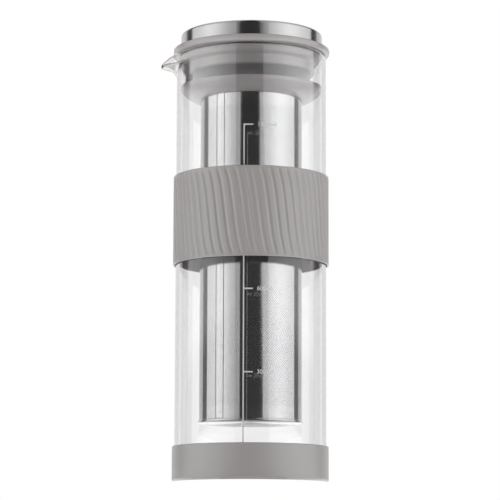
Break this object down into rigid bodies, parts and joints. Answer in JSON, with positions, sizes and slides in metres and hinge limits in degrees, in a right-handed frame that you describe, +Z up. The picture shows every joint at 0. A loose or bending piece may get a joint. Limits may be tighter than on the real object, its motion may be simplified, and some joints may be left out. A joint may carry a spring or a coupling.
{
  "type": "cold brew coffee maker",
  "caption": "Tall glass carafe with a pouring spout, silicone boot and ribbed grip sleeve; a steel filter tube hangs in it under a steel-capped plug lid.",
  "frame": {"origin": "centre of the boot's underside, on the surface that the coffee maker stands on", "axes": "+Z up along the carafe's axis, -X towards the spout, -Y towards the viewer of the picture"},
  "size_m": [0.104, 0.0962, 0.2754],
  "materials": {
    "glass": "clear borosilicate, blown and fire-polished",
    "silicone": "matte warm grey silicone",
    "screen_steel": "bright rolled sheet, finely perforated",
    "brushed_steel": "drawn and turned, fine brushing round the axis",
    "core_plastic": "moulded, hidden in the lid"
  },
  "bodies": {
    "carafe": {"glass_carafe": "glass", "base_boot": "silicone"},
    "sleeve": {"grip_sleeve": "silicone"},
    "filter": {"filter_screen": "screen_steel", "filter_bottom_cap": "screen_steel", "filter_top_ring": "screen_steel", "filter_collar": "silicone"},
    "lid": {"lid_stopper": "silicone", "lid_shell": "brushed_steel", "lid_core": "core_plastic"}
  },
  "joints": [
    {"name": "sleeve_slide", "type": "slide", "parent": "carafe", "child": "sleeve", "axis": [0, 0, 1], "range_m": [-0.109, 0.062]},
    {"name": "filter_lift", "type": "slide", "parent": "carafe", "child": "filter", "axis": [0, 0, 1], "range_m": [0, 0.235]},
    {"name": "lid_lift", "type": "slide", "parent": "filter", "child": "lid", "axis": [0, 0, 1], "range_m": [0, 0.06]}
  ]
}
